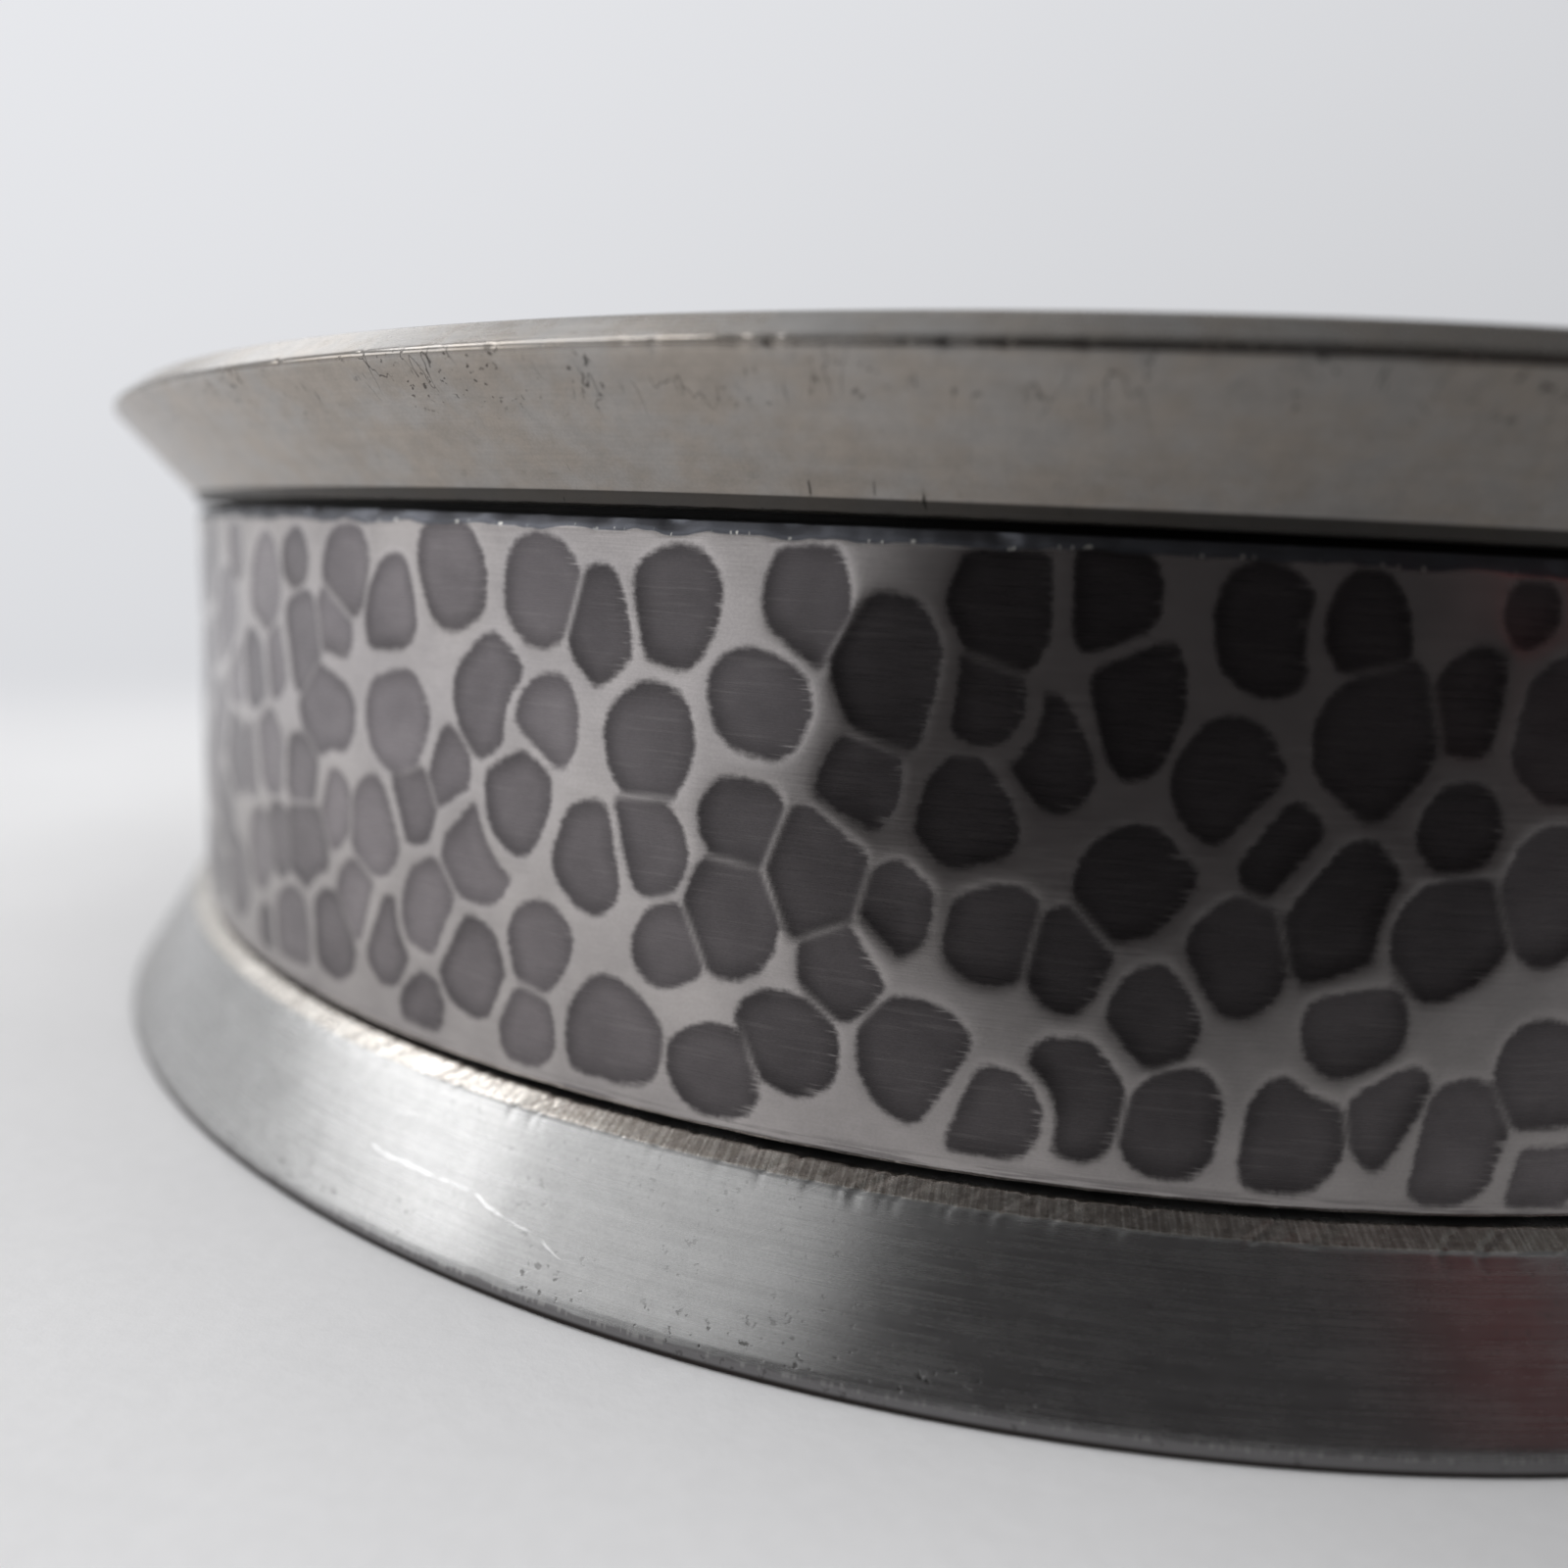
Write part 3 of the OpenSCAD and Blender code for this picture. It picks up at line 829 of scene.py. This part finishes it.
def hammered_metal():
    """Polished ridges round hollows that keep a dark patina, with fine brush lines across both, smudges
    near the bottom, painted shade in each hollow, a painted sheen on the patina at grazing angles, and a
    top bevel painted dark as shade under the rim, with painted glints along its lower edge."""
    m = Metal("hammered_band_metal")
    hollow = m.attribute("hollow")
    bevel = m.attribute("bevel")
    lines = m.noise(m.round_axis(m.z, 2.5 * MM, 0.06 * MM, BAND_R), detail=3.0)
    streaks = m.noise(m.round_axis(m.z, 3.5 * MM, 0.16 * MM, BAND_R), detail=2.0)
    clouds = m.noise(m.place, 150.0, 4.0, 0.6)
    grain = m.noise(m.place, 9000.0, 2.0)
    dark = patina_left(m, hollow, streaks, clouds)
    ridge = m.mix(m.rise(clouds, 0.3, 0.7), *RIDGE_COLOURS)
    patina = m.mix(m.rise(clouds, 0.3, 0.7), *PATINA_COLOURS)
    # Painted sheen: the patina is painted up to 1.9 times lighter where the face is seen at a grazing angle.
    facing = m.node("ShaderNodeLayerWeight", {"Blend": 0.5}).outputs["Facing"]
    patina = m.scaled(patina, m.rise(facing, 0.08, 0.45, 1.0, 1.9))
    colour = m.mix(dark, ridge, patina)
    near_bottom = m.rise(m.z, BAND_LOW.z + 0.9 * MM, BAND_LOW.z + 0.25 * MM)
    smudges = m.times(m.rise(m.plus(streaks, m.times(clouds, 0.4)), 0.66, 0.8), near_bottom, 0.5)
    colour = m.mix(smudges, colour, patina)
    on_bevel = m.rise(bevel, -0.25, -0.05)
    glints = m.noise(m.round_axis(m.z, 0.35 * MM, 1.5 * MM, BAND_R), detail=2.0)
    painted_glint = m.times(m.rise(glints, 0.60, 0.68), m.rise(m.math("ABSOLUTE", bevel), 0.2, 0.05))
    # Painted shade and highlights: the bevel is painted dark as shade under the rim, with painted glints
    # along its lower edge.
    colour = m.mix(on_bevel, colour, m.mix(painted_glint, BEVEL_SHADE_COLOUR, PAINTED_GLINT_COLOUR))
    # Each mark's own random tone, plus painted shade: the patina is painted darker near a hollow's edge and
    # lighter towards its middle.
    mark_tone_and_shade = m.plus(m.times(m.attribute("tone"), 0.17), m.rise(hollow, 0.02, 0.26, -0.17, 0.17))
    tone = m.plus(
        m.rise(lines, 0.3, 0.7, -0.04, 0.04),
        m.rise(grain, 0.3, 0.7, -0.04, 0.04),
        m.rise(m.noise(m.place, 450.0, 2.0, 0.5), 0.3, 0.7, -0.06, 0.06),
        m.times(dark, mark_tone_and_shade),
        1.0,
    )
    roughness = m.plus(
        m.rise(lines, 0.2, 0.8, -0.03, 0.03),
        m.times(dark, 0.05),
        m.times(on_bevel, 0.12),
        0.23,
    )
    normal = m.bump(lines, 0.0014 * MM)
    normal = m.bump(grain, 0.0010 * MM, normal)
    m.brushed(0.3)
    return m.finish(m.scaled(colour, tone), roughness, normal)


# -------- pieces

def add_piece(piece, body, node, material):
    piece.data.materials.append(material)
    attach(piece, body)
    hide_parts(node)


def paint(material, *nodes):
    """Gives CAD nodes that stay as they are a finished material."""
    for node in nodes:
        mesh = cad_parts[node].data
        mesh.materials.clear()
        mesh.materials.append(material)


spun_metal = satin_metal(
    "dish_metal", level=0.62, rough=0.30, warmth=0.025, ring_r=40 * MM, flat=True, aniso=0.6
)
add_piece(hammered_band(), "band", "hammered_band", hammered_metal())
add_piece(rim_collar(), "plate_body", "rim_collar", rim_metal())
add_piece(foot_collar(), "plate_body", "foot_collar", foot_metal())
add_piece(dish_plate(), "plate_body", "dish_plate", spun_metal)
# Painted shade: the inner sleeve is painted nearly black, so the gaps above and below the band look dark.
paint(satin_metal("sleeve_metal", level=0.03, rough=0.5), "inner_sleeve")
paint(satin_metal("base_metal", level=0.50, rough=0.38, flat=True), "base_plate")
paint(satin_metal("fastener_metal", level=0.64, rough=0.30), "centre_stud", "clamp_washer", "clamp_nut")


# -------- floor and backdrop

BACKDROP_TINT = (0.975, 0.985, 1.02)
BACKDROP_LEVEL = 0.645
BACKDROP_LEAN = (-0.16, 0.0, 0.24)  # how much brighter the backdrop gets towards +X, +Y and +Z
PAPER_TINT = (0.985, 0.985, 1.0)
PAPER_ALBEDO = 0.84
PAPER_HALF_W = 6.0
PAPER_END, BACKDROP_START = 0.085, 0.24  # distances from the axis that the paper fades out between


def stage_mesh(name, corners):
    """A flat four-cornered sheet that belongs to the studio, not to the object."""
    mesh = bpy.data.meshes.new(name)
    mesh.from_pydata(corners, [], [(0, 1, 2, 3)])
    sheet = bpy.data.objects.new(name, mesh)
    bpy.context.scene.collection.objects.link(sheet)
    return sheet


def share_towards(tree, direction, lean):
    """How far a direction points along the vector lean."""
    node = tree.nodes.new("ShaderNodeVectorMath")
    node.operation = "DOT_PRODUCT"
    tree.links.new(direction, node.inputs[0])
    node.inputs[1].default_value = lean
    return node.outputs["Value"]


def backdrop_level(tree, direction):
    """Brightness of the plain backdrop in a view direction: a little brighter to the left and higher up."""
    level = tree.nodes.new("ShaderNodeMath")
    tree.links.new(share_towards(tree, direction, BACKDROP_LEAN), level.inputs[0])
    level.inputs[1].default_value = BACKDROP_LEVEL
    return level.outputs[0]


def paper_level(m, fibres):
    """How pale the paper is, with painted light a little to the left and a painted soft shadow at the front
    right.
    Seen in the metal it has more painted shade, most of all at the front and to the right, where the camera
    and the dark card stand over it."""
    # Painted shadow: the paper is painted darker towards the front right.
    painted_shadow_right = m.rise(m.x, 0.02 * BAND_R, 0.35 * BAND_R, 0.0, -0.12)
    tone = m.plus(
        m.rise(fibres, 0.3, 0.7, -0.012, 0.012),
        m.rise(m.noise(m.place, 60.0, 3.0, 0.5), 0.3, 0.7, -0.012, 0.012),
        # Painted light: a little paler towards the left.
        m.rise(m.x, -0.2 * BAND_R, -0.9 * BAND_R, 0.0, 0.02),
        m.times(painted_shadow_right, m.rise(m.y, -0.6 * BAND_R, -1.0 * BAND_R)),
    )
    # Painted shade, seen only in reflections: the paper mirrored in the metal is darker overall, most of all
    # under the card and to the right.
    front = m.rise(m.times(m.y, -1.0), 1.15 * BAND_R, 1.65 * BAND_R)
    under_card = m.times(front, m.rise(m.x, -0.5 * BAND_R, 0.15 * BAND_R), 0.85)
    to_right = m.times(m.rise(m.x, -0.4 * BAND_R, 0.7 * BAND_R), m.rise(m.y, 0.0, -0.8 * BAND_R), 0.4)
    lit = m.times(m.one_minus(under_card), m.one_minus(to_right), 0.72)
    mirrored = m.light_path("Is Glossy Ray")
    shade = m.one_minus(m.times(m.one_minus(lit), mirrored))
    return m.times(m.plus(tone, PAPER_ALBEDO), shade)


def paper_floor():
    """A pale paper sheet under the object that melts into the backdrop far out."""
    far = PAPER_HALF_W
    floor = stage_mesh("paper_floor", [(-far, -far, 0), (far, -far, 0), (far, far, 0), (-far, far, 0)])
    m = Metal("paper", metallic=0.0)
    m.shader.inputs["Specular IOR Level"].default_value = 0.1
    fibres = m.noise(m.place, 900.0, 5.0, 0.65)
    tint = m.node("ShaderNodeCombineColor", dict(enumerate(PAPER_TINT))).outputs[0]
    m.finish(m.scaled(tint, paper_level(m, fibres)), 0.9, m.bump(fibres, 0.05 * MM))
    seen = m.scaled(m.node("ShaderNodeNewGeometry", {}).outputs["Incoming"], -1.0)
    backdrop = {0: (*BACKDROP_TINT, 1), 1: backdrop_level(m.tree, seen)}
    blend = {
        0: m.rise(m.r, PAPER_END, BACKDROP_START),
        1: m.shader.outputs[0],
        2: m.node("ShaderNodeEmission", backdrop).outputs[0],
    }
    m.output(m.node("ShaderNodeMixShader", blend))
    floor.data.materials.append(m.material)


# -------- light

ROOM_TINT = (0.985, 0.99, 1.0, 1)
ROOM_BRIGHT_SIDE = (-0.85, 0.42, -0.12)
ROOM_DIMMEST, ROOM_BRIGHTEST = 0.08, 0.58
FLOOR_LIGHT = 0.89


def background(tree, colour, strength):
    node = tree.nodes.new("ShaderNodeBackground")
    node.inputs["Color"].default_value = colour
    if isinstance(strength, bpy.types.NodeSocket):
        tree.links.new(strength, node.inputs["Strength"])
    else:
        node.inputs["Strength"].default_value = strength
    return node.outputs[0]


def room_level(tree, direction):
    """Brightness of the room that the metal mirrors, in a direction."""
    ramp = tree.nodes.new("ShaderNodeMapRange")
    ramp.interpolation_type = "SMOOTHSTEP"
    lean = Vector(ROOM_BRIGHT_SIDE).normalized()
    tree.links.new(share_towards(tree, direction, lean), ramp.inputs["Value"])
    limits = {"From Min": -0.4, "From Max": 0.7, "To Min": ROOM_DIMMEST, "To Max": ROOM_BRIGHTEST}
    for name, value in limits.items():
        ramp.inputs[name].default_value = value
    return ramp.outputs[0]


def choose(tree, share, first, second):
    """A shader between two shaders."""
    node = tree.nodes.new("ShaderNodeMixShader")
    for i, value in enumerate((share, first, second)):
        tree.links.new(value, node.inputs[i])
    return node.outputs[0]


def soft_world():
    """A pale backdrop to look at, an even light for the floor, and a room for the metal to mirror that is
    bright to the left and behind and dim to the right and on the camera's side."""
    world = bpy.data.worlds.new("room")
    bpy.context.scene.world = world
    world.use_nodes = True
    tree = world.node_tree
    tree.nodes.clear()
    output = tree.nodes.new("ShaderNodeOutputWorld")
    direction = tree.nodes.new("ShaderNodeTexCoord").outputs["Generated"]
    path = tree.nodes.new("ShaderNodeLightPath").outputs
    backdrop = background(tree, (*BACKDROP_TINT, 1), backdrop_level(tree, direction))
    room = background(tree, ROOM_TINT, room_level(tree, direction))
    even = background(tree, (1.0, 1.0, 1.0, 1), FLOOR_LIGHT)
    mirrored = choose(tree, path["Is Glossy Ray"], even, room)
    seen = choose(tree, path["Is Camera Ray"], mirrored, backdrop)
    tree.links.new(seen, output.inputs["Surface"])


def softbox(name, place, width, height, power):
    """A soft rectangular studio light aimed at the centre of the foot."""
    data = bpy.data.lights.new(name, "AREA")
    data.shape = "RECTANGLE"
    data.size = width
    data.size_y = height
    data.energy = power
    lamp = bpy.data.objects.new(name, data)
    bpy.context.scene.collection.objects.link(lamp)
    lamp.location = place
    lamp.rotation_mode = "QUATERNION"
    lamp.rotation_quaternion = (-Vector(place)).to_track_quat("-Z", "Y")


# -------- the dark card

CARD_Y = -1.75 * BAND_R
CARD_LEFT, CARD_RIGHT = -1.6 * BAND_R, 2.4 * BAND_R
CARD_BOTTOM, CARD_TOP = 1 * MM, 2.0 * BAND_R
# The card emits these colours as a painted reflection of the camera and the hand beside it; it is no lamp.
CARD_COLOUR = (0.023, 0.021, 0.022, 1)
CARD_HAND_COLOUR = (0.078, 0.019, 0.020, 1)
CARD_FAR_COLOUR = (0.34, 0.34, 0.345, 1)


def card_colour(m):
    """Nearly black, with a warm patch at the upper right, a painted reflection of a hand, and paler for metal
    that is farther away.
    """
    across = m.times(m.rise(m.x, 0.8 * BAND_R, 1.25 * BAND_R), m.rise(m.x, 1.8 * BAND_R, 1.45 * BAND_R))
    upward = m.times(m.rise(m.z, 0.4 * BAND_R, 0.6 * BAND_R), m.rise(m.z, 1.25 * BAND_R, 1.0 * BAND_R))
    near = m.mix(m.times(across, upward), CARD_COLOUR, CARD_HAND_COLOUR)
    distance = m.light_path("Ray Length")
    return m.mix(m.rise(distance, 1.7 * BAND_R, 2.6 * BAND_R), near, CARD_FAR_COLOUR)


def card_solid(m):
    """A mask of where the card is solid. Its left edge is soft, softest at the bottom, its right edge is
    soft too, and it is cut off at a slant at the upper left."""
    height = m.math("MINIMUM", m.z, 0.5 * BAND_R)
    past_edge = m.plus(m.x, m.times(height, 0.15), 0.66 * BAND_R)
    softness = m.plus(m.times(height, -0.75), 0.52 * BAND_R)
    share = m.math("DIVIDE", past_edge, softness)
    left_side = m.plus(m.rise(share, -1.7, -0.9, 0.0, 0.12), m.rise(share, -0.8, 1.0, 0.0, 0.88))
    right_side = m.rise(m.x, CARD_RIGHT, 1.8 * BAND_R)
    slanted = m.plus(m.z, m.times(m.largest(m.x, -0.6 * BAND_R), -0.9))
    return m.times(left_side, right_side, m.rise(slanted, 0.87 * BAND_R, 0.63 * BAND_R))


def dark_card():
    """A dark card beside the camera that only shows in reflections, where its emitted colour paints the
    reflection of the camera and the hand beside it.
    """
    card = stage_mesh("dark_card", [
        (CARD_LEFT, CARD_Y, CARD_BOTTOM),
        (CARD_RIGHT, CARD_Y, CARD_BOTTOM),
        (CARD_RIGHT, CARD_Y, CARD_TOP),
        (CARD_LEFT, CARD_Y, CARD_TOP),
    ])
    m = Metal("card_black")
    dark = m.node("ShaderNodeEmission", {0: card_colour(m), 1: 1.0}).outputs[0]
    clear = m.node("ShaderNodeBsdfTransparent", {}).outputs[0]
    m.output(m.node("ShaderNodeMixShader", {0: card_solid(m), 1: clear, 2: dark}))
    card.data.materials.append(m.material)
    card.visible_camera = False
    card.visible_diffuse = False
    card.visible_shadow = False


# -------- camera
# It stands low and very near, as for a close-up. Its place is in band radii, its aim in degrees.

CAMERA_BACK = 1.703
CAMERA_HEIGHT = 0.458
CAMERA_YAW = -11.12
CAMERA_PITCH = -9.77
CAMERA_ROLL = 2.98
SENSOR_WIDTH, LENS = 36.0, 29.1825  # millimetres
APERTURE = 16.0
FOCUS_TURN = -9  # the point in focus is on the band, this many degrees round from its front


def aimed(yaw, pitch, roll):
    """The rotation of a camera that looks along +Y, with +Z up, before these angles in radians."""
    forward = Vector((math.sin(yaw) * math.cos(pitch), math.cos(yaw) * math.cos(pitch), math.sin(pitch)))
    level = Vector((math.cos(yaw), -math.sin(yaw), 0))
    upright = level.cross(forward)
    right = level * math.cos(roll) + upright * math.sin(roll)
    up = right.cross(forward)
    return Matrix((right, up, -forward)).transposed().to_4x4()


def focus_point():
    """A marker in the middle of the band's height that the camera focuses on."""
    marker = bpy.data.objects.new("focus_point", None)
    bpy.context.scene.collection.objects.link(marker)
    turn = math.radians(FOCUS_TURN)
    middle_z = (BAND_LOW.z + BAND_HIGH.z) / 2
    marker.location = (BAND_R * math.sin(turn), -BAND_R * math.cos(turn), middle_z)
    return marker


def close_camera():
    data = bpy.data.cameras.new("camera")
    data.sensor_width = SENSOR_WIDTH
    data.lens = LENS
    data.clip_start = 1 * MM
    data.dof.use_dof = True
    data.dof.focus_object = focus_point()
    data.dof.aperture_fstop = APERTURE
    camera = bpy.data.objects.new("camera", data)
    bpy.context.scene.collection.objects.link(camera)
    place = Vector((0, -CAMERA_BACK * BAND_R, CAMERA_HEIGHT * BAND_R))
    rotation = aimed(math.radians(CAMERA_YAW), math.radians(CAMERA_PITCH), math.radians(CAMERA_ROLL))
    camera.matrix_world = Matrix.Translation(place) @ rotation
    bpy.context.scene.camera = camera


paper_floor()
soft_world()
dark_card()
softbox("window_light", (-1.03, -0.33, 0.50), width=0.70, height=0.38, power=1.15)
softbox("back_light", (-0.995, 0.835, 0.75), width=0.62, height=0.42, power=0.70)
softbox("high_light", (-0.80, 0.21, 1.13), width=0.36, height=0.62, power=1.7)
softbox("front_fill", (-0.60, -0.88, 0.62), width=0.72, height=0.42, power=0.46)
close_camera()
bpy.context.scene.view_settings.view_transform = "Standard"
